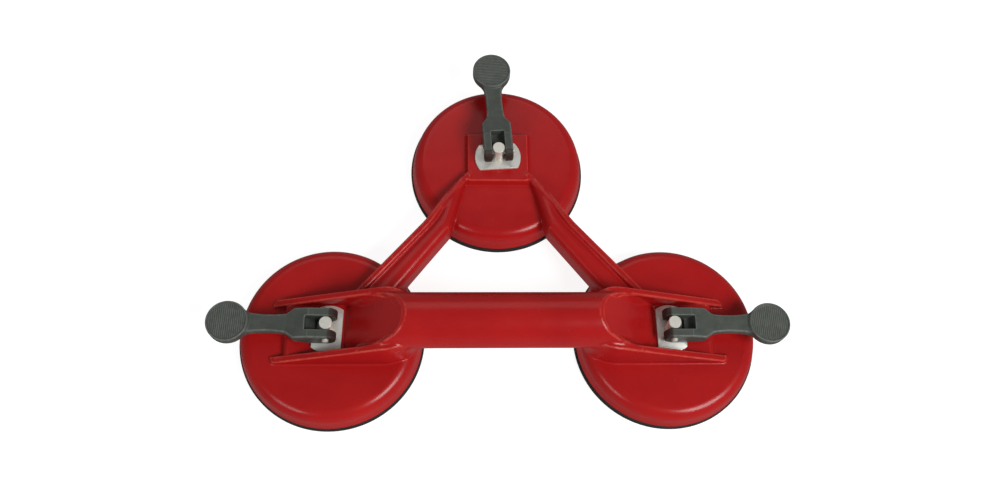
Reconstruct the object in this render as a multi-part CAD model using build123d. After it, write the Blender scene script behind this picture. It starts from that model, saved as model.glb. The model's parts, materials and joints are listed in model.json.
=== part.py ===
from build123d import *
import math
import os

# Three-cup vacuum lifter for glass and sheet. Millimetres, +Z up, pads standing on z = 0.
# The grip runs along X. Each cup has its own local frame: u points outwards along its lever,
# v across the lever, and z up, with the stem axis at u = v = 0.

os.makedirs("parts", exist_ok=True)

# --- Layout -----------------------------------------------------------------------------
FRONT_X = 109.0  # stem of a front cup to the middle plane
REAR_PITCH = 122.0  # front stems to the rear stem, along Y
LEFT_TURN = -1.7  # degrees that the left lever, stem and pad have swivelled
REAR_TURN = 3.7

# --- Rubber pad and its bonded insert -----------------------------------------------------
PAD_R = 60.0
PAD_EDGE_T = 4.6  # height of the pad's visible edge
LIP_INNER_R = 50.0  # the flat sealing lip lies between this radius and the edge
PAD_HOLLOW = 3.2  # how far the middle of the pad is drawn up while locked
PAD_BOSS_R = 25.0
PAD_BOSS_TOP = 10.5
PAD_NECK_R = 42.0  # where the upper face starts to rise to the boss
INSERT_R = 20.0
INSERT_T = 3.0
INSERT_Z = 5.4
INSERT_GAP = 0.1

# --- Cup housing --------------------------------------------------------------------------
HOUSING_R = 57.5
HOUSING_FOOT_R = 59.2  # the wall flares out from the shoulder to its foot
HOUSING_FLAT_Z = 20.0
SHOULDER_R = 8.0
HOUSING_BORE_R = 4.08
RIM_INNER_R = 52.5
CAVITY_TOP_Z = 15.5
CAVITY_EDGE_R = 45.0
BOSS_R = 17.0
BOSS_BOTTOM_Z = 12.5

# --- Plate seat ---------------------------------------------------------------------------
SEAT_TOP_Z = 25.0
SEAT_HALF_W = 20.3
SEAT_INNER = 16.6
SEAT_OUTER = 18.3
SEAT_DRAFT = 20.0
FRONT_SEAT_OUTER = 27.0

# --- Ribs, ramp and grip ------------------------------------------------------------------
RIB_HALF_W = 20.4
RIB_FOOT_HALF_W = 21.0
TROUGH_HALF_W = 16.2
RIB_TIP_U = 36.5
RIB_TIP_Z = 21.2
RIB_PEAK_U = -40.0
RIB_PEAK_Z = 52.0
RIB_CREST = 6.0  # length of the level top behind the peak
RAMP_FOOT_U = -10.0
RAMP_TOP_U = -49.0
GRIP_R = 17.3
GRIP_Z = 45.0
GRIP_END_U = -34.0
NECK_START_U = -42.0
NECK_END_U = -55.5
NECK_HALF_W = 18.0
NECK_TIP_HALF_W = 13.0
NECK_BOTTOM_Z = 14.0

# --- Arms ---------------------------------------------------------------------------------
# s runs along an arm from the front stem to the rear one, and w inwards from that line.
ARM_OUTER = -4.6
ARM_INNER = 17.0
ARM_FLANGE_W = 4.4
ARM_VALLEY = 3.0
ARM_TOP_Z = 30.0
ARM_VALLEY_Z = 25.5
ARM_INNER_Z = 22.0
ARM_BOTTOM_Z = 12.0
ARM_START = 16.0  # inside the rib
ARM_TAPER_START = 101.5
ARM_TAPER_START_W = 12.1
ARM_TAPER_END_W = -5.0
ARM_END = 136.0
ARM_WALL = 3.2
ARM_POCKET_START = 63.0
ARM_POCKET_END = 97.0
ARM_POCKET_TOP_Z = 19.5
SPUR_START = 92.0  # where the flange bends out to the rear seat's side
SPUR_BEND = 122.0
SPUR_END = 142.0
SPUR_OUT = 4.6
SPUR_W = 5.4
SPUR_TOP_Z = 25.5

# --- Wear plate, stem and pivot pin -------------------------------------------------------
PLATE_R = 15.6
PLATE_T = 1.6
PLATE_INNER = 8.7
PLATE_OUTER = 10.0
PLATE_BORE_R = 4.06
STEM_R = 4.0
STEM_TOP_Z = 41.0
STEM_CHAMFER = 0.3
PIN_R = 2.0
PIN_Z = 35.5
PIN_HALF_L = 11.2
PIN_CHAMFER = 0.4

# --- Lever --------------------------------------------------------------------------------
STROKE = 2.4  # how far the stem drops while the lever swings up to 90 degrees
CAM_GAP = 0.2
PIN_BORE_R = 2.06
FORK_HALF_W = 9.75
SLOT_HALF_W = 4.4
SLOT_END_U = 13.0
SLOT_FLOOR_U = 7.4  # beyond this a floor closes the slot from below
SLOT_FLOOR_Z = 33.5
FORK_END_U = 20.0
SHOULDER_U = 25.0
NECK_WAIST_U = 38.0
NECK_FLARE_U = 49.0
NECK_HALF = 6.2
WAIST_HALF = 5.4
KNOB_U = 61.0
KNOB_R = 13.0
KNOB_TOP_Z = 39.5
KNOB_BOTTOM_Z = 32.5
KNOB_RIM_W = 1.1
KNOB_RECESS = 0.6
LEVER_TOP_Z = 40.8
LEVER_NECK_TOP_Z = 37.8
LEVER_NECK_BOTTOM_Z = 31.5
FORK_FLAT_END_U = 11.0
LEVER_EDGE_R = 0.7
CROWN_BACK = (-5.2, 38.4)  # point on the rounded inboard end of the fork
CROWN_U = -2.4  # where the fork's level top begins
NECK_FLARE = 0.6
WEB_LENGTH = 16.0

# The origin is the middle of the whole lifter's box, on the floor.
REAR_REACH = KNOB_U * math.cos(math.radians(REAR_TURN)) + KNOB_R
FRONT_Y = -(REAR_PITCH + REAR_REACH - PAD_R) / 2

CUPS = {
    "left": Location((-FRONT_X, FRONT_Y, 0), (0, 0, 180)),
    "right": Location((FRONT_X, FRONT_Y, 0)),
    "rear": Location((0, FRONT_Y + REAR_PITCH, 0), (0, 0, 90)),
}
SWIVEL = {"left": LEFT_TURN, "right": 0.0, "rear": REAR_TURN}


def upright(face, half_width):
    """Extrude a face drawn in (u, z) by half_width to both sides of the middle plane."""
    return extrude(Plane.XZ * face, half_width, both=True)


def turned(edges):
    """Revolve a closed outline drawn in (radius, z) about the stem axis."""
    return revolve(Plane.XZ * make_face(edges), Axis.Z)


def closed(points):
    return make_face(Polyline(*points, close=True))


def housing():
    """Cup housing: a round cap with a soft shoulder, open underneath."""
    flat_r = HOUSING_R - SHOULDER_R
    shoulder_z = HOUSING_FLAT_Z - SHOULDER_R
    mid = SHOULDER_R * math.sqrt(0.5)
    outline = [
        Line((0, HOUSING_FLAT_Z), (flat_r, HOUSING_FLAT_Z)),
        ThreePointArc(
            (flat_r, HOUSING_FLAT_Z),
            (flat_r + mid, shoulder_z + mid),
            (HOUSING_R, shoulder_z),
        ),
        Polyline(
            (HOUSING_R, shoulder_z),
            (HOUSING_FOOT_R, PAD_EDGE_T),
            (RIM_INNER_R, PAD_EDGE_T),
            (RIM_INNER_R, shoulder_z),
            (CAVITY_EDGE_R, CAVITY_TOP_Z),
            (BOSS_R, CAVITY_TOP_Z),
            (BOSS_R, BOSS_BOTTOM_Z),
            (0, BOSS_BOTTOM_Z),
            (0, HOUSING_FLAT_Z),
        ),
    ]
    return turned(outline)


def seat(outer_u):
    """Raised block with drafted sides that carries the wear plate."""
    height = SEAT_TOP_Z - HOUSING_FLAT_Z
    spread = height * math.tan(math.radians(SEAT_DRAFT))
    length = outer_u + SEAT_INNER + 2 * spread
    foot = Rectangle(length, 2 * (SEAT_HALF_W + spread))
    middle = Location(((outer_u - SEAT_INNER) / 2, 0, HOUSING_FLAT_Z))
    return extrude(middle * foot, height, taper=SEAT_DRAFT)


def head():
    """Rib pair, ramp body and neck of a front cup, before the trough is cut."""
    side = closed(
        [
            (RIB_TIP_U, RIB_TIP_Z),
            (RIB_PEAK_U, RIB_PEAK_Z),
            (RIB_PEAK_U - RIB_CREST, RIB_PEAK_Z),
            (NECK_END_U, GRIP_Z),
            (NECK_END_U, NECK_BOTTOM_Z),
            (RAMP_FOOT_U, CAVITY_TOP_Z + 1),
            (RIB_TIP_U, CAVITY_TOP_Z + 1),
        ]
    )
    plan = closed(
        [
            (RIB_TIP_U, -RIB_FOOT_HALF_W),
            (RIB_TIP_U, RIB_FOOT_HALF_W),
            (NECK_START_U, RIB_FOOT_HALF_W),
            (NECK_START_U - RIB_CREST, NECK_HALF_W),
            (NECK_END_U, NECK_TIP_HALF_W),
            (NECK_END_U, -NECK_TIP_HALF_W),
            (NECK_START_U - RIB_CREST, -NECK_HALF_W),
            (NECK_START_U, -RIB_FOOT_HALF_W),
        ]
    )
    draft = math.degrees(
        math.atan((RIB_FOOT_HALF_W - RIB_HALF_W) / (RIB_PEAK_Z - HOUSING_FLAT_Z))
    )
    walls = extrude(
        Location((0, 0, HOUSING_FLAT_Z)) * plan,
        RIB_PEAK_Z - HOUSING_FLAT_Z,
        taper=draft,
    ) + extrude(
        Location((0, 0, NECK_BOTTOM_Z)) * plan, HOUSING_FLAT_Z - NECK_BOTTOM_Z
    )
    return walls & upright(side, RIB_FOOT_HALF_W)


def trough():
    """What is removed between the ribs: the lever's space and the ramp up to the grip."""
    reach = 10
    rise = (GRIP_Z + GRIP_R - SEAT_TOP_Z) / (RAMP_FOOT_U - RAMP_TOP_U)
    over_z = GRIP_Z + GRIP_R + reach
    side = closed(
        [
            (FRONT_SEAT_OUTER, SEAT_TOP_Z),
            (RAMP_FOOT_U, SEAT_TOP_Z),
            (RAMP_TOP_U - reach / rise, over_z),
            (RIB_TIP_U + reach, over_z),
            (RIB_TIP_U + reach, HOUSING_FLAT_Z),
            (FRONT_SEAT_OUTER + 2, HOUSING_FLAT_Z),
        ]
    )
    return upright(side, TROUGH_HALF_W)


def arm(side):
    """Arm from a front cup to the rear cup, with a flange, a valley and a round back."""
    span = math.hypot(FRONT_X, REAR_PITCH)
    heading = math.degrees(math.atan2(REAR_PITCH, -FRONT_X))
    flange = ARM_OUTER + ARM_FLANGE_W
    crown = (ARM_VALLEY + ARM_INNER) / 2
    section = make_face(
        [
            Polyline(
                (ARM_VALLEY, ARM_VALLEY_Z),
                (flange, ARM_VALLEY_Z),
                (flange, ARM_TOP_Z),
                (ARM_OUTER, ARM_TOP_Z),
                (ARM_OUTER, ARM_BOTTOM_Z),
                (ARM_INNER, ARM_BOTTOM_Z),
                (ARM_INNER, ARM_INNER_Z),
            ),
            ThreePointArc(
                (ARM_INNER, ARM_INNER_Z),
                (crown, ARM_TOP_Z),
                (ARM_VALLEY, ARM_VALLEY_Z),
            ),
        ]
    )
    # Local frame of the right arm: x along the arm from the front stem, y inwards.
    across = Plane(origin=(0, 0, 0), x_dir=(0, 1, 0), z_dir=(1, 0, 0))
    bar = Location((ARM_START, 0, 0)) * extrude(across * section, span - ARM_START)
    plan = closed(
        [
            (ARM_START, ARM_OUTER),
            (ARM_END, ARM_OUTER),
            (ARM_END, ARM_TAPER_END_W),
            (ARM_TAPER_START, ARM_TAPER_START_W),
            (ARM_START, ARM_INNER),
        ]
    )
    bar &= extrude(plan, ARM_TOP_Z + ARM_WALL)
    spur_w = ARM_OUTER - SPUR_OUT
    spur = closed(
        [
            (SPUR_START, ARM_OUTER),
            (SPUR_BEND, spur_w),
            (SPUR_END, spur_w),
            (SPUR_END, spur_w + SPUR_W),
            (SPUR_START, ARM_OUTER + SPUR_W),
        ]
    )
    bar += Location((0, 0, ARM_BOTTOM_Z)) * extrude(spur, SPUR_TOP_Z - ARM_BOTTOM_Z)
    pocket_w = ARM_TAPER_START_W - ARM_OUTER - 2 * ARM_WALL
    pocket = Box(
        ARM_POCKET_END - ARM_POCKET_START,
        pocket_w,
        ARM_POCKET_TOP_Z - ARM_BOTTOM_Z,
        align=(Align.MIN, Align.MIN, Align.MIN),
    )
    bar -= Location((ARM_POCKET_START, ARM_OUTER + ARM_WALL, ARM_BOTTOM_Z)) * pocket
    bar = Location((FRONT_X, FRONT_Y, 0), (0, 0, heading)) * bar
    return bar if side == "right" else mirror(bar, Plane.YZ)


def frame():
    """The one-piece moulding: three cup housings, two arms, and the grip between ramps."""
    body = extrude(
        Plane(origin=(0, FRONT_Y, GRIP_Z), z_dir=(1, 0, 0)) * Circle(GRIP_R),
        FRONT_X + GRIP_END_U,
        both=True,
    )
    for place in CUPS.values():
        body += place * housing()
    for side in ("left", "right"):
        body += arm(side)
    for side in ("left", "right"):
        body += CUPS[side] * head()
        body += CUPS[side] * seat(FRONT_SEAT_OUTER)
        body -= CUPS[side] * trough()
    body += CUPS["rear"] * seat(SEAT_OUTER)
    bore = Cylinder(
        HOUSING_BORE_R,
        SEAT_TOP_Z + 2,
        align=(Align.CENTER, Align.CENTER, Align.MIN),
    )
    for place in CUPS.values():
        body -= place * bore
    return body


def rubber_pad():
    """Vulcanised rubber disc: flat lip, thin web, and a boss that holds the insert."""
    insert_low = INSERT_Z - INSERT_GAP
    insert_high = INSERT_Z + INSERT_T + INSERT_GAP
    body = turned(
        Polyline(
            (0, PAD_HOLLOW),
            (PAD_BOSS_R, PAD_HOLLOW),
            (LIP_INNER_R, 0.6),
            (LIP_INNER_R + 0.6, 0),
            (PAD_R - 0.8, 0),
            (PAD_R, 0.8),
            (PAD_R, PAD_EDGE_T - 0.5),
            (PAD_R - 0.5, PAD_EDGE_T),
            (PAD_NECK_R, PAD_EDGE_T),
            (PAD_BOSS_R, PAD_BOSS_TOP),
            (0, PAD_BOSS_TOP),
            close=True,
        )
    )
    cavity = Location((0, 0, insert_low)) * Cylinder(
        INSERT_R + INSERT_GAP,
        insert_high - insert_low,
        align=(Align.CENTER, Align.CENTER, Align.MIN),
    )
    throat = Location((0, 0, insert_low)) * Cylinder(
        STEM_R + INSERT_GAP,
        PAD_BOSS_TOP - insert_low + 1,
        align=(Align.CENTER, Align.CENTER, Align.MIN),
    )
    return body - cavity - throat


def insert_disc():
    """Steel disc bonded inside the pad, bored for the stem's foot."""
    return turned(
        Polyline(
            (STEM_R, INSERT_Z),
            (INSERT_R, INSERT_Z),
            (INSERT_R, INSERT_Z + INSERT_T),
            (STEM_R, INSERT_Z + INSERT_T),
            close=True,
        )
    )


def stem():
    """Round steel stem, cross-drilled for the pivot pin."""
    body = turned(
        Polyline(
            (0, INSERT_Z),
            (STEM_R, INSERT_Z),
            (STEM_R, STEM_TOP_Z - STEM_CHAMFER),
            (STEM_R - STEM_CHAMFER, STEM_TOP_Z),
            (0, STEM_TOP_Z),
            close=True,
        )
    )
    return body - Location((0, 0, PIN_Z)) * cross_rod(PIN_R, 2 * STEM_R)


def cross_rod(radius, half_length):
    """A round rod through the origin, along v."""
    return extrude(Plane.XZ * Circle(radius), half_length, both=True)


def pivot_pin():
    """Cross pin, pressed in the stem, on which the lever's two arms turn."""
    body = cross_rod(PIN_R, PIN_HALF_L)
    body = chamfer(body.edges().filter_by(GeomType.CIRCLE), PIN_CHAMFER)
    return Location((0, 0, PIN_Z)) * body


def wear_plate():
    """Zinc-plated steel plate under the cam: a disc with two flats and a round bore."""
    disc = Circle(PLATE_R) & Location(((PLATE_OUTER - PLATE_INNER) / 2, 0)) * Rectangle(
        PLATE_OUTER + PLATE_INNER, 2 * PLATE_R
    )
    disc -= Circle(PLATE_BORE_R)
    return extrude(Location((0, 0, SEAT_TOP_Z)) * disc, PLATE_T)


def cam_point(turn):
    """Point of the cam that bears on the plate when the lever has swung up by turn.

    The distance from pin to plate falls evenly from the locked height to the released one,
    so the outline is the envelope of the plate's face as the lever swings.
    """
    fall = STROKE / (math.pi / 2)
    height = PIN_Z - SEAT_TOP_Z - PLATE_T - CAM_GAP - fall * turn
    u = -height * math.sin(turn) + fall * math.cos(turn)
    z = -height * math.cos(turn) - fall * math.sin(turn)
    return (u, PIN_Z + z)


def lever():
    """Forked cam lever with a waisted neck and a round thumb knob."""
    cam = [cam_point(turn) for turn in (0, math.pi / 4, math.pi / 2)]
    crown = (CROWN_U, LEVER_TOP_Z)
    side = make_face(
        [
            ThreePointArc(*cam),
            ThreePointArc(cam[2], CROWN_BACK, crown),
            Polyline(
                crown,
                (FORK_FLAT_END_U, LEVER_TOP_Z),
                (SHOULDER_U, LEVER_NECK_TOP_Z),
                (NECK_FLARE_U, LEVER_NECK_TOP_Z),
                (NECK_FLARE_U, LEVER_NECK_BOTTOM_Z),
                (SHOULDER_U, LEVER_NECK_BOTTOM_Z),
                (FORK_FLAT_END_U, cam[0][1]),
                cam[0],
            ),
        ]
    )
    knob_joint_u = KNOB_U - math.sqrt(KNOB_R**2 - NECK_HALF**2) + 1
    upper = [
        Line((-2 * FORK_HALF_W, FORK_HALF_W), (FORK_END_U, FORK_HALF_W)),
        Line((FORK_END_U, FORK_HALF_W), (SHOULDER_U, NECK_HALF)),
        ThreePointArc(
            (SHOULDER_U, NECK_HALF),
            (NECK_WAIST_U, WAIST_HALF),
            (knob_joint_u, NECK_HALF + NECK_FLARE),
        ),
    ]
    lower = [mirror(edge, Plane.XZ) for edge in upper]
    ends = [
        Line((knob_joint_u, NECK_HALF + NECK_FLARE), (knob_joint_u, -NECK_HALF - NECK_FLARE)),
        Line((-2 * FORK_HALF_W, FORK_HALF_W), (-2 * FORK_HALF_W, -FORK_HALF_W)),
    ]
    plan = make_face(upper + lower + ends)
    shank = extrude(plan, STEM_TOP_Z + 2) & upright(side, 2 * FORK_HALF_W)
    knob = Location((KNOB_U, 0, KNOB_BOTTOM_Z)) * Cylinder(
        KNOB_R,
        KNOB_TOP_Z - KNOB_BOTTOM_Z,
        align=(Align.CENTER, Align.CENTER, Align.MIN),
    )
    knob = fillet(knob.edges().filter_by(GeomType.CIRCLE), LEVER_EDGE_R)
    web_u = knob_joint_u - WEB_LENGTH / 2
    web = Location((web_u, 0, LEVER_NECK_BOTTOM_Z + 1)) * Box(
        WEB_LENGTH,
        2 * NECK_HALF,
        LEVER_NECK_TOP_Z - LEVER_NECK_BOTTOM_Z - 1,
        align=(Align.MIN, Align.CENTER, Align.MIN),
    )
    recess = Location((KNOB_U, 0, KNOB_TOP_Z - KNOB_RECESS)) * Cylinder(
        KNOB_R - KNOB_RIM_W,
        2 * KNOB_RECESS,
        align=(Align.CENTER, Align.CENTER, Align.MIN),
    )
    slot = Location((SLOT_FLOOR_U, 0, 0)) * Box(
        4 * FORK_HALF_W,
        2 * SLOT_HALF_W,
        3 * LEVER_TOP_Z,
        align=(Align.MAX, Align.CENTER, Align.CENTER),
    )
    slot += Location((SLOT_END_U, 0, SLOT_FLOOR_Z)) * Box(
        4 * FORK_HALF_W,
        2 * SLOT_HALF_W,
        LEVER_TOP_Z,
        align=(Align.MAX, Align.CENTER, Align.MIN),
    )
    eye = Location((0, 0, PIN_Z)) * cross_rod(PIN_BORE_R, 2 * FORK_HALF_W)
    return shank + knob + web - recess - slot - eye


PER_CUP = {
    "rubber_pad": rubber_pad,
    "insert_disc": insert_disc,
    "stem": stem,
    "wear_plate": wear_plate,
    "pivot_pin": pivot_pin,
    "lever": lever,
}

export_step(frame(), "parts/frame.step")
for piece, make in PER_CUP.items():
    shape = make()
    for cup, place in CUPS.items():
        turned_place = place * Rotation(0, 0, SWIVEL[cup])
        export_step(turned_place * shape, f"parts/{cup}_{piece}.step")
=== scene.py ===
import json
import math

import bmesh
import bpy
import numpy as np
from mathutils import Matrix, Vector


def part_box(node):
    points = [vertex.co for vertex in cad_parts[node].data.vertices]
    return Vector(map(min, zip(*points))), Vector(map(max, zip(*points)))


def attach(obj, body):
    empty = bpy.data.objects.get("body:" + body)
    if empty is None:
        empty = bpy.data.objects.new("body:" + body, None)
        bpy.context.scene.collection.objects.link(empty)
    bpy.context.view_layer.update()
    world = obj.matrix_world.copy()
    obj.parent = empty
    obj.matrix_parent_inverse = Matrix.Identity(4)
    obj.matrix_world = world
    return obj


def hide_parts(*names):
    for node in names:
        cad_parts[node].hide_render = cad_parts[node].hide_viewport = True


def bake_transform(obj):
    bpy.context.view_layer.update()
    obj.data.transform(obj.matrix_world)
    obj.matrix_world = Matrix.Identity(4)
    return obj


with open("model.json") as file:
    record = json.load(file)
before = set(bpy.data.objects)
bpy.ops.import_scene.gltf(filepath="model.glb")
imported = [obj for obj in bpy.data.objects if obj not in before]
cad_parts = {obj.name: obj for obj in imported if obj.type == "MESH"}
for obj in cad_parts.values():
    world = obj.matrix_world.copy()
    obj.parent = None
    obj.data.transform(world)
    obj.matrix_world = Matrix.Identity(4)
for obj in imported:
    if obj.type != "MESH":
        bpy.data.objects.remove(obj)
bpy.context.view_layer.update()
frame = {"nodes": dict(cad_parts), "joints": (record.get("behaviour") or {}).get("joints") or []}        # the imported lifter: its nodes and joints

# Shapes are worked out in millimetres and the meshes are written in metres.
MM = 0.001

# --- Where the cups are -------------------------------------------------------------------


def stem_centre(cup):
    """Stem axis of a cup, in millimetres."""
    low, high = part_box(cup + "_stem")
    return (low + high).to_2d() / 2 / MM


def lever_heading(cup):
    """Angle in the plan at which a cup's lever points away from its stem."""
    joint = next(j for j in frame["joints"] if j["name"] == cup + "_lever_swing")
    out = Vector((0, 0, 1)).cross(Vector(joint["axis"]))
    return math.atan2(out.y, out.x)


CUPS = ("left", "right", "rear")
CENTRE = {cup: stem_centre(cup) for cup in CUPS}
HEADING = {cup: lever_heading(cup) for cup in CUPS}
FRONT_X, FRONT_Y = CENTRE["right"]
REAR_Y = CENTRE["rear"].y

# --- Housing ------------------------------------------------------------------------------
HOUSING_R = 57.5
HOUSING_FLARE = 1.7  # how far the wall leans out from the shoulder to its foot
FLARE_EASE = 1.3  # above 1, the lean starts gently
HOUSING_TOP = 20.0
HOUSING_FOOT = 4.6
SHOULDER_R = 8.0
CAVITY_R = 52.5
CAVITY_TOP = 15.5
CAVITY_FILLET = 5.0
BOSS_R = 17.0
BOSS_FOOT = 12.5
BORE_R = 4.08

# --- Seats --------------------------------------------------------------------------------
SEAT_TOP = 25.0
SEAT_HALF_W = 20.3
SEAT_INNER = 16.6
REAR_SEAT_OUTER = 18.3
FRONT_SEAT_OUTER = 27.0
SEAT_SPREAD = 1.82  # how much wider the foot of a seat is on each side

# --- Ribs, ramp, grip and neck, as (u, z) points on a cup's own axes -----------------------
RIB_TIP = (36.5, 21.2)
RIB_PEAK = (-40.0, 52.0)
NECK_TOP = (-46.0, 51.0)
NECK_BACK = (-55.5, 44.0)
NECK_FOOT_Z = 14.0
RIB_WALL = ((20.4, 52.0), (21.0, 20.0))  # (|v|, z)
NECK_SIDE = ((-55.5, 13.0), (-42.0, 22.3))  # (u, |v|)
TROUGH_HALF_W = 16.2
TROUGH_FOOT = 16.0
TROUGH_CORNER = 0.5
RAMP_CORNER = 5.0  # how much rounder the trough's corners get up the ramp
RAMP_CORNER_RUN = 12.0
SEAT_CLEAR = 0.05
RAMP_FOOT = (-10.0, 25.0)
RAMP_HEAD = (-49.0, 62.3)
GRIP_R = 17.3
GRIP_Z = 45.0
GRIP_LIP = 1.3

# --- Arms, in the arm's own axes: s along it from the front stem, w inwards ----------------
ARM_START = 16.0
ARM_END = 136.0
ARM_FLANGE = (-4.6, -0.2)
ARM_TOP = 30.0
ARM_BACK_R = 5.4
ARM_INNER_S = (16.0, 101.5, 136.0)  # along the arm, where its inner side is at ...
ARM_INNER_W = (17.0, 12.1, -5.0)
ARM_VALLEY_Z = 25.4
ARM_FOOT = 12.0
ARM_FALL = (98.0, 138.0, 4.6)  # where the arm's top comes down to the seat, and by how much
SPUR_END = 142.0
SPUR_BEND = (92.0, 128.0, 4.4)  # where the flange leaves the body's side, and how far
ARM_FILLET = 2.2
SPUR_FILLET = -0.8  # how much the fillet changes along the spur
SPUR_FILLET_RUN = 20.0
POCKET = (80.0, 17.0, 3.75, 5.15, 19.5)  # middle s, half length, middle w, half width, roof z

# --- Lever --------------------------------------------------------------------------------
PIN_Z = 35.5
EYE_R = 2.06
CAM_DROP = 2.4 / (math.pi / 2)
CAM_LOCKED = 8.7
LEVER_TOP = 40.8
NECK_Z = (31.5, 37.8)
FORK_HALF_W = 9.75
SLOT_HALF_W = 4.4
SLOT_END = 13.0
SLOT_FLOOR = (7.4, 33.5)  # beyond this u, the slot is closed below this z
CROWN_BACK = (-5.2, 38.4)
CROWN_U = -2.4
CAM_STEPS = 16
SHOULDER_U = 11.0  # the lever's flat top ends here
NECK_U = (25.0, 52.0, 56.0)  # start of the neck, where its foot rises, end in the knob
WAIST = ((25.0, 6.2), (38.0, 5.4), (50.6, 6.8))  # (u, |v|)
KNOB_ROOT_HALF_W = 7.4
CAM_SHADE = (1.5, 0.1)  # how far the painted shade reaches out from the crown, and how it leans
KNOB_U = 61.0
KNOB_R = 12.99
KNOB_Z = (32.5, 39.5)
KNOB_RIM = 1.1
KNOB_RECESS = 0.55
GROOVE_PITCH = 1.25
GROOVE_DEPTH = 0.22

# --- Rounded solids as fields: negative inside, in millimetres -----------------------------


def union(a, b, r):
    """Both solids, with a fillet of radius r where they meet."""
    inner = np.hypot(np.maximum(r - a, 0), np.maximum(r - b, 0))
    return np.maximum(r, np.minimum(a, b)) - inner


def common(a, b, r):
    """What two solids share, with its edges rounded to radius r."""
    return -union(-a, -b, r)


def beyond(x, y, p, q):
    """Distance to the left of the line from p to q."""
    dx, dy = q[0] - p[0], q[1] - p[1]
    return ((y - p[1]) * dx - (x - p[0]) * dy) / math.hypot(dx, dy)


def smooth(t):
    """An eased step from 0 at t = 0 to 1 at t = 1."""
    t = np.clip(t, 0, 1)
    return t * t * (3 - 2 * t)


def housing(r, z):
    """A cup's round cap with its soft shoulder and flared wall."""
    depth = (HOUSING_TOP - SHOULDER_R - z) / (HOUSING_TOP - SHOULDER_R - HOUSING_FOOT)
    wall = HOUSING_R + HOUSING_FLARE * np.clip(depth, 0, 1) ** FLARE_EASE
    cap = common(r - wall, z - HOUSING_TOP, SHOULDER_R)
    return common(cap, HOUSING_FOOT - z, 0.6)


def cavity(r, z):
    """The hollow under a cup's cap, round the boss that guides the stem."""
    hollow = common(r - CAVITY_R, z - CAVITY_TOP, CAVITY_FILLET)
    boss = common(r - BOSS_R, BOSS_FOOT - z, 0.8)
    return common(hollow, -boss, 1.5)


def seat(u, v, z, outer, lip):
    """The raised block that the wear plate lies on; lip rounds its outer end."""

    def side(d, edge):
        return beyond(d, z, (edge, SEAT_TOP), (edge + SEAT_SPREAD, HOUSING_TOP))

    plan = common(side(np.abs(v), SEAT_HALF_W), side(-u, SEAT_INNER), 1.2)
    plan = common(plan, z - SEAT_TOP, 0.6)
    return common(common(plan, side(u, outer), lip), CAVITY_TOP + 1 - z, 0.1)


def head(u, v, z):
    """Both ribs, the ramp's body and the neck under the grip's end, as one block."""
    side = np.abs(v)
    top = common(beyond(u, z, RIB_PEAK, RIB_TIP), z - RIB_PEAK[1], 3.0)
    top = common(top, beyond(u, z, NECK_BACK, NECK_TOP), 3.0)
    block = common(beyond(side, z, *RIB_WALL), beyond(u, side, *NECK_SIDE), 5.0)
    block = common(block, NECK_BACK[0] - u, 4.0)
    block = common(block, u - RIB_TIP[0], 3.6)
    return common(common(block, top, 1.0), NECK_FOOT_Z - z, 0.5)


def outside_trough(u, v, z, foot_z):
    """Everything but the lever's space between the ribs and up the ramp."""
    foot = np.minimum(z - foot_z, 50)
    floor = union(foot, beyond(u, z, RAMP_HEAD, RAMP_FOOT), 1.0)
    corner = TROUGH_CORNER + RAMP_CORNER * smooth((RAMP_FOOT[0] - 1 - u) / RAMP_CORNER_RUN)
    return union(TROUGH_HALF_W - np.abs(v), floor, corner)


def grip_block(u, v, z):
    """Seat, ribs, ramp, neck and the grip's near half, with the lever's space cut out."""
    grip = np.hypot(v, z - GRIP_Z) - GRIP_R
    grip = common(grip, beyond(u, z, RAMP_HEAD, RAMP_FOOT) - GRIP_LIP, 1.2)
    block = union(head(u, v, z), grip, 2.0)
    block = common(block, outside_trough(u, v, z, TROUGH_FOOT), 1.2)
    foot = np.maximum(seat(u, v, z, FRONT_SEAT_OUTER, 2.5), beyond(np.abs(v), z, *RIB_WALL))
    return np.minimum(block, foot)


def arm(s, w, z):
    """An arm: its flange runs on as a spur to the rear seat's side, its body tapers away."""
    begin, end, fall = ARM_FALL
    high = z + fall * smooth((s - begin) / (end - begin))
    begin, end, bend = SPUR_BEND
    out = w + bend * smooth((s - begin) / (end - begin))
    middle = sum(ARM_FLANGE) / 2
    half = (ARM_FLANGE[1] - ARM_FLANGE[0]) / 2
    flange = common(np.abs(out - middle) - half, high - ARM_TOP, 1.5)
    flange = common(flange, s - SPUR_END, 1.5)
    ridge = np.interp(s, ARM_INNER_S, ARM_INNER_W) - ARM_BACK_R
    across = w - ridge
    slope = np.maximum(ridge + out - w - ARM_FLANGE[1], ARM_BACK_R)
    across = np.where(across < 0, across * ARM_BACK_R / slope, across)
    back = np.hypot(across, np.maximum(high - ARM_TOP + ARM_BACK_R, 0)) - ARM_BACK_R
    web = common(ARM_FLANGE[0] + 1 - out, w - ridge, 0.3)
    web = common(web, high - ARM_VALLEY_Z, 0.3)
    body = union(back, web, 3.0)
    body = common(body, np.maximum(s - ARM_END, ARM_FLANGE[0] + 1 - out), 2.0)
    bar = union(flange, body, 2.4)
    bar = common(bar, np.maximum(ARM_START - s, ARM_FOOT - z), 0.8)
    s0, half_s, w0, half_w, roof = POCKET
    pocket = common(np.abs(s - s0) - half_s, np.abs(w - w0) - half_w, 2.0)
    pocket = common(pocket, z - roof, 1.0)
    return common(bar, -pocket, 0.5)


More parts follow.
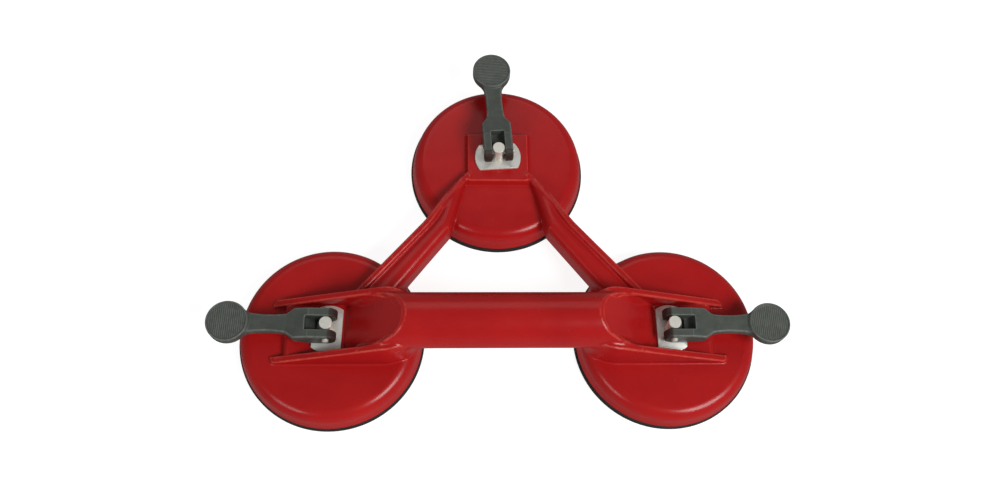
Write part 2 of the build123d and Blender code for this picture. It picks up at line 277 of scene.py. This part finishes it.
def frame_half(x, y, z):
    """The moulding on the side of the right cup; the other half is its mirror image."""
    u, v = x - FRONT_X, y - FRONT_Y
    r_front, r_rear = np.hypot(u, v), np.hypot(x, y - REAR_Y)
    front = union(housing(r_front, z), grip_block(u, v, z), 1.3)
    front = common(front, -cavity(r_front, z), 0.6)
    rear = union(housing(r_rear, z), seat(y - REAR_Y, x, z, REAR_SEAT_OUTER, 0.6), 0.9)
    rear = common(rear, -cavity(r_rear, z), 0.6)
    along = np.array([-FRONT_X, REAR_Y - FRONT_Y])
    along = along / np.linalg.norm(along)
    s = u * along[0] + v * along[1]
    w = -u * along[1] + v * along[0]
    fillet = ARM_FILLET + SPUR_FILLET * smooth((s - SPUR_BEND[0]) / SPUR_FILLET_RUN)
    body = union(np.minimum(front, rear), arm(s, w, z), fillet)
    body = np.maximum(body, outside_trough(u, v, z, SEAT_TOP + SEAT_CLEAR))
    return common(body, BORE_R - np.minimum(r_front, r_rear), 0.35)


def outline_field(x, y, points):
    """Signed distance to a closed outline."""
    points = np.array(points, np.float32)
    best = np.full(x.shape, 1e9, np.float32)
    inside = np.zeros(x.shape, bool)
    for (ax, ay), (bx, by) in zip(points, np.roll(points, -1, 0)):
        ex, ey = bx - ax, by - ay
        wx, wy = x - ax, y - ay
        t = np.clip((wx * ex + wy * ey) / (ex * ex + ey * ey), 0, 1)
        best = np.minimum(best, (wx - t * ex) ** 2 + (wy - t * ey) ** 2)
        crosses = (ay > y) != (by > y)
        if ey:
            inside ^= crosses & (x < ax + wy / ey * ex)
    return np.where(inside, -1, 1) * np.sqrt(best)


def arc_points(a, b, c, n):
    """n points on the circle arc from a through b to c, without c."""
    ax, ay, bx, by, cx, cy = *a, *b, *c
    d = 2 * (ax * (by - cy) + bx * (cy - ay) + cx * (ay - by))
    sq = [p[0] ** 2 + p[1] ** 2 for p in (a, b, c)]
    ox = (sq[0] * (by - cy) + sq[1] * (cy - ay) + sq[2] * (ay - by)) / d
    oy = (sq[0] * (cx - bx) + sq[1] * (ax - cx) + sq[2] * (bx - ax)) / d
    angles = [math.atan2(p[1] - oy, p[0] - ox) for p in (a, b, c)]
    sweep = (angles[2] - angles[0]) % (2 * math.pi)
    if (angles[1] - angles[0]) % (2 * math.pi) > sweep:
        sweep -= 2 * math.pi
    radius = math.hypot(ax - ox, ay - oy)
    turns = [angles[0] + sweep * i / n for i in range(n)]
    return [(ox + radius * math.cos(t), oy + radius * math.sin(t)) for t in turns]


def lever_side():
    """The lever's outline seen from its side, in (u, z)."""
    cam = []
    for i in range(CAM_STEPS + 1):
        turn = math.pi / 2 * i / CAM_STEPS
        h = CAM_LOCKED - CAM_DROP * turn
        cam.append(
            (
                CAM_DROP * math.cos(turn) - h * math.sin(turn),
                PIN_Z - h * math.cos(turn) - CAM_DROP * math.sin(turn),
            )
        )
    crown = arc_points(cam[-1], CROWN_BACK, (CROWN_U, LEVER_TOP), 12)[1:]
    start, rise, end = NECK_U
    low, high = NECK_Z
    top = [(CROWN_U, LEVER_TOP), (SHOULDER_U, LEVER_TOP), (start, high), (end, high)]
    foot = [(end, low + 1), (rise, low), (start, low), (SHOULDER_U, cam[0][1])]
    return cam + crown + top + foot


def lever_plan():
    """The lever's outline from above, in (u, v)."""
    waist = arc_points(*WAIST, 14) + [WAIST[2], (NECK_U[2], KNOB_ROOT_HALF_W)]
    upper = [(-20, FORK_HALF_W), (20, FORK_HALF_W)] + waist
    return upper + [(u, -v) for u, v in reversed(upper)]


def lever(u, v, z):
    """A cam lever lying down: fork, neck and thumb knob with its grooved face."""
    shank = common(outline_field(u, z, lever_side()), outline_field(u, v, lever_plan()), 1.1)
    reach = np.hypot(u - KNOB_U, v)
    middle, half = sum(KNOB_Z) / 2, (KNOB_Z[1] - KNOB_Z[0]) / 2
    knob = common(reach - KNOB_R, np.abs(z - middle) - half, 1.0)
    body = union(shank, knob, 2.0)
    groove = GROOVE_DEPTH * (0.5 + 0.5 * np.cos(2 * math.pi * (u - KNOB_U) / GROOVE_PITCH))
    fade = smooth((KNOB_R - KNOB_RIM - 0.5 - reach) / 0.6)
    face = KNOB_Z[1] - KNOB_RECESS - groove * fade
    recess = union(KNOB_R - KNOB_RIM - reach, z - face, 0.3)
    body = common(body, recess, 0.35)
    deep = common(np.abs(v) - SLOT_HALF_W, u - SLOT_FLOOR[0], 0.8)
    high = common(common(np.abs(v) - SLOT_HALF_W, u - SLOT_END, 0.8), SLOT_FLOOR[1] - z, 0.5)
    body = common(body, -np.minimum(deep, high), 0.6)
    return common(body, np.hypot(u, z - PIN_Z) * -1 + EYE_R, 0.3)


# --- From a field to a mesh ----------------------------------------------------------------
BEND_REACH = 0.05  # how far to each side the bending of a surface is felt
LONG_SIDE = 3.0
SHARP_BEND = 0.15
WEAR_AND_SHEEN_WIDTH = 1.0


def on_grid(field, low, step, shape):
    """The field on a grid of points, worked out only where the surface can be."""
    axes = [low[k] + step * np.arange(shape[k]) for k in range(3)]
    block = 8
    middles = [low[k] + step * (np.arange(0, shape[k], block) + block / 2) for k in range(3)]
    rough = field(*[c.ravel() for c in np.meshgrid(*middles, indexing="ij")])
    rough = rough.reshape([len(m) for m in middles])
    out = 99 * np.sign(rough).astype(np.float32)
    for axis in range(3):
        out = np.repeat(out, block, axis)
    out = out[: shape[0], : shape[1], : shape[2]].copy()
    near, reach = np.abs(rough), block * step * 1.2
    todo = np.argwhere(near <= reach)
    corner = np.arange(block)
    offsets = np.stack(np.meshgrid(corner, corner, corner, indexing="ij"), -1).reshape(-1, 3)
    for part in np.array_split(todo, max(1, len(todo) // 400)):
        index = (part[:, None, :] * block + offsets[None]).reshape(-1, 3)
        index = index[np.all(index < np.array(shape), axis=1)]
        x, y, z = (axes[k][index[:, k]] for k in range(3))
        out[index[:, 0], index[:, 1], index[:, 2]] = field(x, y, z)
    return out


def surface_net(values, low, step):
    """Vertices and four-sided faces of the surface where the values change sign."""
    inside = values < 0
    dims = np.array(values.shape) - 1
    count = np.zeros(dims, np.int8)
    for c in np.ndindex(2, 2, 2):
        count += inside[c[0] : c[0] + dims[0], c[1] : c[1] + dims[1], c[2] : c[2] + dims[2]]
    cells = np.argwhere((count > 0) & (count < 8))
    number = np.full(dims, -1, np.int32)
    number[tuple(cells.T)] = np.arange(len(cells))
    total = np.zeros((len(cells), 3))
    hits = np.zeros(len(cells))
    for axis in range(3):
        others = [k for k in range(3) if k != axis]
        for a, b in np.ndindex(2, 2):
            start = cells.copy()
            start[:, others[0]] += a
            start[:, others[1]] += b
            stop = start.copy()
            stop[:, axis] += 1
            fa, fb = values[tuple(start.T)], values[tuple(stop.T)]
            hit = (fa < 0) != (fb < 0)
            t = fa[hit] / (fa[hit] - fb[hit])
            point = start[hit].astype(float)
            point[:, axis] += t
            total[hit] += point
            hits[hit] += 1
    vertices = np.array(low) + step * total / hits[:, None]
    faces = []
    for axis in range(3):
        b, c = (axis + 1) % 3, (axis + 2) % 3
        size = list(values.shape)
        size[axis] -= 1
        first = np.take(inside, range(size[axis]), axis)
        second = np.take(inside, range(1, size[axis] + 1), axis)
        edges = np.argwhere(first != second)
        keep = np.all(edges[:, [b, c]] > 0, axis=1)
        keep &= np.all(edges[:, [b, c]] < dims[[b, c]], axis=1)
        edges = edges[keep]
        ring = []
        for db, dc in ((0, 0), (-1, 0), (-1, -1), (0, -1)):
            cell = edges.copy()
            cell[:, b] += db
            cell[:, c] += dc
            ring.append(number[tuple(cell.T)])
        quads = np.stack(ring, 1)
        outward = first[tuple(edges.T)]
        quads[~outward] = quads[~outward][:, ::-1]
        faces.append(quads)
    return vertices, np.concatenate(faces)


def slope_of(field, points, h=0.02):
    """The field's value, gradient and bending at some points."""
    here = field(*points.T)
    grad = np.zeros_like(points)
    bend = -6 * here
    for k in range(3):
        ahead, behind = points.copy(), points.copy()
        ahead[:, k] += h
        behind[:, k] -= h
        fa, fb = field(*ahead.T), field(*behind.T)
        grad[:, k] = (fa - fb) / (2 * h)
        bend = bend + fa + fb
    return here, grad, bend / h**2


def onto_surface(field, points, rounds=2):
    """Points moved down the field's slope until they lie on the surface."""
    for _ in range(rounds):
        here, grad, _ = slope_of(field, points)
        size = np.maximum(np.sum(grad**2, axis=1), 0.25)
        points = points - np.clip(here / size, -0.5, 0.5)[:, None] * grad
    return points


def new_mesh(name, vertices, faces, normals=None, edge=None):
    """A mesh in metres from vertices in millimetres, shaded smooth."""
    mesh = bpy.data.meshes.new(name)
    mesh.vertices.add(len(vertices))
    mesh.vertices.foreach_set("co", np.asarray(vertices, np.float32).ravel() * MM)
    sizes = np.array([len(f) for f in faces])
    corners = np.concatenate(list(faces)).astype(np.int32)
    mesh.loops.add(len(corners))
    mesh.loops.foreach_set("vertex_index", corners)
    mesh.polygons.add(len(sizes))
    starts = np.concatenate([[0], np.cumsum(sizes)[:-1]]).astype(np.int32)
    mesh.polygons.foreach_set("loop_start", starts)
    mesh.update(calc_edges=True)
    mesh.validate()
    mesh.polygons.foreach_set("use_smooth", np.ones(len(sizes), bool))
    if edge is not None:
        set_points(mesh, "edge", edge)
    if normals is not None:
        mesh.normals_split_custom_set_from_vertices(normals)
    return mesh


def set_points(mesh, name, values):
    """A number for each vertex, for the materials to read."""
    layer = mesh.attributes.new(name, "FLOAT", "POINT")
    layer.data.foreach_set("value", values.astype(np.float32))


def positions(mesh):
    """Vertices of a mesh, in millimetres."""
    co = np.zeros(len(mesh.vertices) * 3, np.float32)
    mesh.vertices.foreach_get("co", co)
    return co.reshape(-1, 3).astype(float) / MM


def new_object(name, mesh):
    obj = bpy.data.objects.new(name, mesh)
    bpy.context.scene.collection.objects.link(obj)
    return obj


def thinned(vertices, faces, target):
    """Fewer triangles for the same surface, by collapsing edges where it is flattest."""
    triangles = np.concatenate([faces[:, [0, 1, 2]], faces[:, [0, 2, 3]]])
    obj = new_object("thinning", new_mesh("thinning", vertices, triangles))
    decimate = obj.modifiers.new("decimate", "DECIMATE")
    decimate.ratio = min(1.0, target / len(triangles))
    done = obj.evaluated_get(bpy.context.evaluated_depsgraph_get()).to_mesh()
    points = positions(done)
    done.calc_loop_triangles()
    tri = np.zeros(len(done.loop_triangles) * 3, np.int32)
    done.loop_triangles.foreach_get("vertices", tri)
    bpy.data.objects.remove(obj)
    return points, tri.reshape(-1, 3)


def split_by_edges(vertices, faces, bend):
    """Splits the long sides that leave a sharp edge, so that the edge's wear and painted highlight
    stay on it.
    """
    mesh = bmesh.new()
    mesh.from_mesh(new_mesh("splitting", vertices, faces))
    sharp = np.clip(bend, 0, 1)
    for side in list(mesh.edges):
        if side.calc_length() < LONG_SIDE * MM:
            continue
        for end in [vert for vert in side.verts if sharp[vert.index] > SHARP_BEND]:
            bmesh.utils.edge_split(side, end, WEAR_AND_SHEEN_WIDTH * MM / side.calc_length())
    bmesh.ops.triangulate(mesh, faces=[face for face in mesh.faces if len(face.verts) > 3])
    mesh.verts.index_update()
    points = np.array([vert.co[:] for vert in mesh.verts]) / MM
    triangles = np.array([[vert.index for vert in face.verts] for face in mesh.faces])
    mesh.free()
    return points, triangles


def moulded(name, field, low, high, step, target, mirrored=False):
    """A mesh of a field's solid; a mirrored one is made from its half at x > 0."""
    low = np.array(low, float)
    if mirrored:
        low[0] = -step / 2
    shape = tuple(np.ceil((np.array(high) - low) / step).astype(int) + 2)
    vertices, faces = surface_net(on_grid(field, low, step, shape), low, step)
    vertices = onto_surface(field, vertices)
    if mirrored:
        seam = vertices[:, 0] < step / 2
        vertices[seam, 0] = 0
        twin = np.where(seam, np.arange(len(vertices)), -1)
        twin[~seam] = len(vertices) + np.arange((~seam).sum())
        vertices = np.concatenate([vertices, vertices[~seam] * (-1, 1, 1)])
        faces = np.concatenate([faces, twin[faces][:, ::-1]])

    def whole(x, y, z):
        return field(np.abs(x) if mirrored else x, y, z)

    vertices, faces = thinned(vertices, faces, target)
    vertices = onto_surface(whole, vertices, 1)
    vertices, faces = split_by_edges(vertices, faces, slope_of(whole, vertices, BEND_REACH)[2])
    vertices = onto_surface(whole, vertices, 1)
    _, grad, bend = slope_of(whole, vertices, BEND_REACH)
    normals = grad / np.maximum(np.linalg.norm(grad, axis=1), 1e-6)[:, None]
    return new_mesh(name, vertices, faces, normals, np.clip(bend, -2, 2))


def ringed(rings):
    """Vertices and faces of a closed band of rings, each ring joined to the next."""
    rings = np.array(rings, float)
    count, n, _ = rings.shape
    faces = []
    for k in range(count):
        a, b = k * n, (k + 1) % count * n
        i = np.arange(n)
        j = (i + 1) % n
        faces.append(np.stack([a + i, a + j, b + j, b + i], 1))
    return rings.reshape(-1, 3), np.concatenate(faces)


def rounded(corners, n=4):
    """A closed outline with each (x, y, radius) corner rounded by n + 1 points."""
    points = []
    for k, (x, y, r) in enumerate(corners):
        if r == 0:
            points.append((x, y))
            continue
        here = Vector((x, y))
        back = (Vector(corners[k - 1][:2]) - here).normalized()
        ahead = (Vector(corners[(k + 1) % len(corners)][:2]) - here).normalized()
        half = back.angle(ahead) / 2
        start, stop = here + back * r / math.tan(half), here + ahead * r / math.tan(half)
        middle = here + (back + ahead).normalized() * r / math.sin(half)
        first, last = (start - middle).normalized(), (stop - middle).normalized()
        points += [tuple(middle + first.slerp(last, i / n) * r) for i in range(n + 1)]
    return points


def lathe(name, corners, segments=160, n=4, sharp=40):
    """A closed outline in (radius, z) turned about the stem axis, clockwise from above."""
    turns = np.linspace(0, 2 * math.pi, segments, endpoint=False)
    rings = [
        np.stack([r * np.cos(turns), r * np.sin(turns), np.full(segments, z)], 1)
        for r, z in rounded(corners, n)
    ]
    mesh = new_mesh(name, *ringed(rings))
    mesh.set_sharp_from_angle(angle=math.radians(sharp))
    return mesh


def placed(name, mesh, cup, body, nodes, material):
    """A copy of a cup's piece, drawn on the cup's own axes, at that cup."""
    obj = new_object(name, mesh.copy())
    obj.data.transform(Matrix.Rotation(HEADING[cup], 4, "Z"))
    obj.location = CENTRE[cup].to_3d() * MM
    obj.data.materials.append(material)
    if body:
        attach(obj, body)
    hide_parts(*nodes)
    return obj


# --- Materials -----------------------------------------------------------------------------


class Finish:
    """A procedural material: noises on the object's own axes drive colour, gloss and relief."""

    def __init__(self, name, **sockets):
        self.material = bpy.data.materials.new(name)
        self.material.use_nodes = True
        self.tree = self.material.node_tree
        self.shader = self.tree.nodes["Principled BSDF"]
        for socket, value in sockets.items():
            self.shader.inputs[socket.replace("_", " ")].default_value = value
        self.axes = self.tree.nodes.new("ShaderNodeTexCoord").outputs["Object"]
        self.relief = None

    def node(self, kind, links=(), **settings):
        node = self.tree.nodes.new("ShaderNode" + kind)
        for key, value in settings.items():
            setattr(node, key, value)
        for socket, source in dict(links).items():
            if isinstance(source, bpy.types.NodeSocket):
                self.tree.links.new(source, node.inputs[socket])
            else:
                node.inputs[socket].default_value = source
        return node

    def noise(self, size, detail=4.0, roughness=0.55, stretch=(1, 1, 1)):
        """Noise whose features are about size millimetres across."""
        scaled = self.node("Mapping", {"Vector": self.axes, "Scale": stretch})
        links = {
            "Vector": scaled.outputs[0],
            "Scale": 1 / (size * MM),
            "Detail": detail,
            "Roughness": roughness,
        }
        return self.node("TexNoise", links).outputs["Fac"]

    def spread(self, source, low, high, start=0.3, stop=0.7):
        links = {"Value": source, "From Min": start, "From Max": stop, "To Min": low, "To Max": high}
        return self.node("MapRange", links).outputs["Result"]

    def mix(self, factor, a, b):
        node = self.node("Mix", data_type="RGBA")
        for key, value in ((0, factor), (6, a), (7, b)):
            if isinstance(value, bpy.types.NodeSocket):
                self.tree.links.new(value, node.inputs[key])
            else:
                node.inputs[key].default_value = value
        return node.outputs[2]

    def times(self, a, b):
        return self.node("Math", {0: a, 1: b}, operation="MULTIPLY").outputs[0]

    def edge(self, start, stop):
        """How far a point is on a convex edge, from the mesh's own bending."""
        bend = self.node("Attribute", attribute_name="edge").outputs["Fac"]
        return self.spread(bend, 0, 1, start, stop)

    def bump(self, height, depth, strength=1.0):
        """Relief depth millimetres deep, over any relief that is there already."""
        links = {"Height": height, "Distance": depth * MM, "Strength": strength}
        if self.relief:
            links["Normal"] = self.relief
        self.relief = self.node("Bump", links).outputs["Normal"]
        self.tree.links.new(self.relief, self.shader.inputs["Normal"])

    def colour(self, source):
        self.tree.links.new(source, self.shader.inputs["Base Color"])

    def gloss(self, source):
        self.tree.links.new(source, self.shader.inputs["Roughness"])


def red_plastic():
    f = Finish("red_plastic", IOR=1.5, Specular_IOR_Level=0.24)
    dark, pale = (0.315, 0.0058, 0.0070, 1), (0.385, 0.0088, 0.0094, 1)
    body = f.mix(f.spread(f.noise(38), 0, 1), dark, pale)
    flow = f.spread(f.noise(14, stretch=(0.25, 1, 1)), 0, 0.35)
    body = f.mix(flow, body, (0.42, 0.011, 0.009, 1))
    # Painted highlight: convex edges are lighter and pinker in the base colour, standing in for the
    # lamps' glints on them.
    edge_wear_and_sheen = f.times(f.edge(0.25, 1.0), f.spread(f.noise(5), 0.35, 0.9))
    f.colour(f.mix(edge_wear_and_sheen, body, (0.56, 0.065, 0.046, 1)))
    f.gloss(f.spread(f.noise(9, 6), 0.20, 0.28))
    f.bump(f.noise(1.6, 3), 0.03, 0.5)
    f.bump(f.noise(26, 2), 0.25, 0.35)
    return f.material


def lever_plastic():
    f = Finish("lever_plastic", IOR=1.5, Specular_IOR_Level=0.3)
    body = f.mix(f.spread(f.noise(7, 6), 0, 1), (0.044, 0.050, 0.043, 1), (0.068, 0.076, 0.064, 1))
    speck = f.spread(f.noise(0.35, 2), 0, 0.6, 0.58, 0.7)
    body = f.mix(speck, body, (0.11, 0.12, 0.105, 1))
    edge_wear_and_sheen = f.times(f.edge(0.2, 1.0), f.spread(f.noise(2.5), 0.2, 0.8))
    body = f.mix(edge_wear_and_sheen, body, (0.15, 0.16, 0.145, 1))
    # Painted shade: the cam ends are darkened to a reddish brown, standing in for shade and red
    # light bounced off the frame.
    cam = f.node("Attribute", attribute_name="cam").outputs["Fac"]
    cam_shade = f.times(cam, f.spread(f.noise(1.8), 0.75, 1.0))
    f.colour(f.mix(cam_shade, body, (0.026, 0.012, 0.009, 1)))
    f.gloss(f.spread(f.noise(1.2, 4), 0.42, 0.58))
    f.bump(f.noise(0.45, 3), 0.05, 0.6)
    return f.material


def zinc():
    f = Finish("zinc_plate", Metallic=0.5, IOR=1.6)
    tint = f.mix(f.spread(f.noise(6), 0, 1), (0.70, 0.70, 0.64, 1), (0.80, 0.80, 0.75, 1))
    streaks = f.spread(f.noise(0.9, 6, 0.7, (12, 1, 1)), 0, 0.4)
    f.colour(f.mix(streaks, tint, (0.58, 0.58, 0.53, 1)))
    f.gloss(f.spread(f.noise(2.2, 6), 0.34, 0.5))
    f.bump(f.noise(0.5, 5, 0.6, (9, 1, 1)), 0.02, 0.4)
    return f.material


def steel():
    f = Finish("turned_steel", Metallic=0.5, IOR=1.6)
    tint = f.mix(f.spread(f.noise(3), 0, 1), (0.70, 0.68, 0.60, 1), (0.80, 0.78, 0.70, 1))
    grain = f.spread(f.noise(0.6, 6, 0.7), 0, 0.35)
    f.colour(f.mix(grain, tint, (0.60, 0.58, 0.52, 1)))
    f.gloss(f.spread(f.noise(1.0, 5), 0.36, 0.5))
    f.bump(f.noise(0.3, 3, 0.6, (1, 1, 8)), 0.01, 0.4)
    return f.material


def rubber():
    f = Finish("black_rubber", IOR=1.5, Specular_IOR_Level=0.2)
    bloom = f.spread(f.noise(9, 6), 0, 1)
    f.colour(f.mix(bloom, (0.010, 0.010, 0.010, 1), (0.022, 0.022, 0.021, 1)))
    f.gloss(f.spread(f.noise(4, 5), 0.52, 0.72))
    f.bump(f.noise(0.7, 4), 0.03, 0.6)
    return f.material


RED, BLACK, ZINC, STEEL, RUBBER = red_plastic(), lever_plastic(), zinc(), steel(), rubber()

# --- The frame and the levers --------------------------------------------------------------
FRAME_STEP = 0.75
LEVER_STEP = 0.27
FRAME_TRIANGLES = 170_000
LEVER_TRIANGLES = 80_000
LEVER_BOX = ((-11, -15, 24), (KNOB_U + 15, 15, 43))
MARGIN = 2.0
SHEEN_FREE_FOOT = 6.0  # the painted edge highlight fades out this near the pads
low, high = (Vector(corner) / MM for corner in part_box("frame"))
moulding = moulded(
    "frame_moulding",
    frame_half,
    (0, low.y - MARGIN, low.z - MARGIN),
    high + Vector((MARGIN,) * 3),
    FRAME_STEP,
    FRAME_TRIANGLES,
    mirrored=True,
)
moulding.materials.append(RED)
# The frame's painted edge highlight fades out towards the pads.
layer = moulding.attributes["edge"].data
sheen_edge = np.zeros(len(layer), np.float32)
layer.foreach_get("value", sheen_edge)
height = positions(moulding)[:, 2] - HOUSING_FOOT
layer.foreach_set("value", (sheen_edge * smooth(height / SHEEN_FREE_FOOT)).astype(np.float32))
piece = new_object("frame_moulding", moulding)
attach(piece, "frame")
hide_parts("frame")

lever_mesh = moulded("lever", lever, *LEVER_BOX, LEVER_STEP, LEVER_TRIANGLES)
u, _, z = positions(lever_mesh).T
# Where the painted shade on the cam ends lies, for the lever's material.
reach, lean = CAM_SHADE
set_points(lever_mesh, "cam", smooth((CROWN_U + reach - u + lean * (LEVER_TOP - z)) / reach))
for cup in CUPS:
    name, body = f"{cup}_lever_moulding", cup + "_lever"
    placed(name, lever_mesh, cup, body, [cup + "_lever"], BLACK)

# --- Rubber pads ---------------------------------------------------------------------------
PAD_R = 60.0
PAD_EDGE_T = 4.6
LIP_R = 50.0
LIP_HEIGHT = 0.6
PAD_HOLLOW = 3.2
PAD_NECK_R = 42.0
PAD_BOSS_R = 25.0
PAD_BOSS_TOP = 10.5
PAD_BORE_R = 4.1
DISC_R = 20.1
DISC_Z = (5.3, 8.5)
SEAL_GROOVES = (52.9, 55.5)
SEAL_GROOVE = 0.3

grooves = [
    corner
    for r in SEAL_GROOVES
    for corner in (
        (r - SEAL_GROOVE, 0.0, 0.1),
        (r, SEAL_GROOVE, 0.1),
        (r + SEAL_GROOVE, 0.0, 0.1),
    )
]
RIM_OUTLINE = [
    (LIP_R, LIP_HEIGHT, 0),
    (LIP_R + 0.8, 0.0, 0.3),
    *grooves,
    (PAD_R - 0.7, 0.0, 0.5),
    (PAD_R, 0.9, 0.5),
    (PAD_R, PAD_EDGE_T - 1.5, 0.3),
    (PAD_R - 0.3, PAD_EDGE_T - 1.2, 0.1),
    (PAD_R - 0.1, PAD_EDGE_T - 0.9, 0.1),
    (PAD_R - 0.3, PAD_EDGE_T, 0.5),
    (LIP_R, PAD_EDGE_T, 0),
]
WEB_OUTLINE = [
    (0.0, PAD_HOLLOW, 0),
    (PAD_BOSS_R, PAD_HOLLOW, 3.0),
    (LIP_R, LIP_HEIGHT, 0),
    (LIP_R, PAD_EDGE_T - 0.1, 0),
    (PAD_NECK_R, PAD_EDGE_T, 4.0),
    (PAD_BOSS_R, PAD_BOSS_TOP, 2.0),
    (PAD_BORE_R, PAD_BOSS_TOP, 0.3),
    (PAD_BORE_R, DISC_Z[1], 0),
    (DISC_R, DISC_Z[1], 0),
    (DISC_R, DISC_Z[0], 0),
    (0.0, DISC_Z[0], 0),
]
rim_mesh = lathe("pad_rim", RIM_OUTLINE, 256)
web_mesh = lathe("pad_web", WEB_OUTLINE, 160)
for cup in CUPS:
    nodes = [cup + "_rubber_pad"]
    placed(f"{cup}_pad_rim", rim_mesh, cup, cup + "_pad", nodes, RUBBER)
    web = placed(f"{cup}_pad_web", web_mesh, cup, None, nodes, RUBBER)
    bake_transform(web)

# --- Wear plates ---------------------------------------------------------------------------
PLATE_R = 15.6
PLATE_FLATS = (10.0, 8.7)
PLATE_Z = (25.0, 26.6)
PLATE_BORE = 4.06
PLATE_EDGE = 0.3


def plate_mesh():
    """A round plate with two flats, its edges broken, bored for the stem."""
    corner = [math.acos(PLATE_FLATS[0] / PLATE_R), math.pi - math.acos(PLATE_FLATS[1] / PLATE_R)]
    even = np.linspace(-math.pi, math.pi, 144, endpoint=False)
    turns = np.sort(np.concatenate([even, corner, np.negative(corner)]))
    reach, bore = np.full(len(turns), PLATE_R), np.full(len(turns), PLATE_BORE)
    ahead, behind = np.cos(turns) > 1e-6, np.cos(turns) < -1e-6
    reach[ahead] = np.minimum(PLATE_R, PLATE_FLATS[0] / np.cos(turns[ahead]))
    reach[behind] = np.minimum(PLATE_R, -PLATE_FLATS[1] / np.cos(turns[behind]))
    levels = [
        (reach - PLATE_EDGE, PLATE_Z[0]),
        (reach, PLATE_Z[0] + PLATE_EDGE / 2),
        (reach, PLATE_Z[1] - PLATE_EDGE),
        (reach - PLATE_EDGE * 0.3, PLATE_Z[1] - PLATE_EDGE * 0.3),
        (reach - PLATE_EDGE, PLATE_Z[1]),
        (bore + 0.2, PLATE_Z[1]),
        (bore, PLATE_Z[1] - 0.2),
        (bore, PLATE_Z[0]),
    ]
    rings = [
        np.stack([r * np.cos(turns), r * np.sin(turns), np.full(len(turns), z)], 1)
        for r, z in levels
    ]
    mesh = new_mesh("wear_plate", *ringed(rings))
    mesh.set_sharp_from_angle(angle=math.radians(30))
    return mesh


plate = plate_mesh()
for cup in CUPS:
    placed(f"{cup}_plate", plate, cup, cup + "_pad", [cup + "_wear_plate"], ZINC)
    for part in ("stem", "pivot_pin", "insert_disc"):
        node = frame["nodes"][f"{cup}_{part}"]
        node.data.materials.clear()
        node.data.materials.append(STEEL)

# --- Floor, light and camera ---------------------------------------------------------------
FLOOR_HALF = 4.0
FLOOR_GAP = 0.0002
FLOOR_GLOW = 0.88
SKY = 0.2
FLOOR_GREYS = ((0.26, 0.26, 0.26, 1), (0.30, 0.30, 0.30, 1))


def floor_material():
    f = Finish("studio_floor", Roughness=0.9, Specular_IOR_Level=0.1)
    f.shader.inputs["Emission Color"].default_value = (1, 1, 1, 1)
    f.shader.inputs["Emission Strength"].default_value = FLOOR_GLOW
    f.colour(f.mix(f.spread(f.noise(300), 0, 1), *FLOOR_GREYS))
    return f.material


floor = new_mesh(
    "floor",
    np.array([(-1, -1, 0), (1, -1, 0), (1, 1, 0), (-1, 1, 0)]) * FLOOR_HALF / MM,
    np.array([(0, 1, 2, 3)]),
)
floor.materials.append(floor_material())
floor = new_object("floor", floor)
floor.location.z = -FLOOR_GAP
floor.visible_glossy = False  # kept out of reflections, as a polarising filter would


def softbox(name, direction, distance, size, power):
    """A rectangular light that faces the middle of the scene."""
    data = bpy.data.lights.new(name, "AREA")
    data.shape = "RECTANGLE"
    data.size, data.size_y = size
    data.energy = power
    light = new_object(name, data)
    away = Vector(direction).normalized()
    light.location = away * distance
    light.rotation_euler = away.to_track_quat("Z", "Y").to_euler()


softbox("key", (0.52, -0.44, 0.73), 1.7, (0.70, 0.62), 22)
softbox("fill", (-0.55, -0.55, 0.62), 1.8, (0.60, 0.50), 6)
softbox("back", (-0.10, 0.75, 0.80), 1.8, (1.4, 0.9), 4)

world = bpy.data.worlds.new("studio")
bpy.context.scene.world = world
world.use_nodes = True
world.node_tree.nodes["Background"].inputs["Color"].default_value = (1, 1, 1, 1)
world.node_tree.nodes["Background"].inputs["Strength"].default_value = SKY
bpy.context.scene.view_settings.view_transform = "Standard"

CAMERA_AT = Vector((-28.81, -240.37, 602.19)) * MM
CAMERA_ROLL = math.radians(6.924)
ahead = Vector((0.0471, 0.3653, -0.9297)).normalized()
level = ahead.cross(Vector((0, 0, 1))).normalized()
rise = level.cross(ahead)
right = level * math.cos(CAMERA_ROLL) + rise * math.sin(CAMERA_ROLL)
up = right.cross(ahead)
lens = bpy.data.cameras.new("camera")
lens.sensor_width = 36
lens.lens = 33.92
lens.clip_start = 0.01
camera = new_object("camera", lens)
turn = Matrix((right, up, -ahead)).transposed().to_4x4()
camera.matrix_world = Matrix.Translation(CAMERA_AT) @ turn
bpy.context.scene.camera = camera
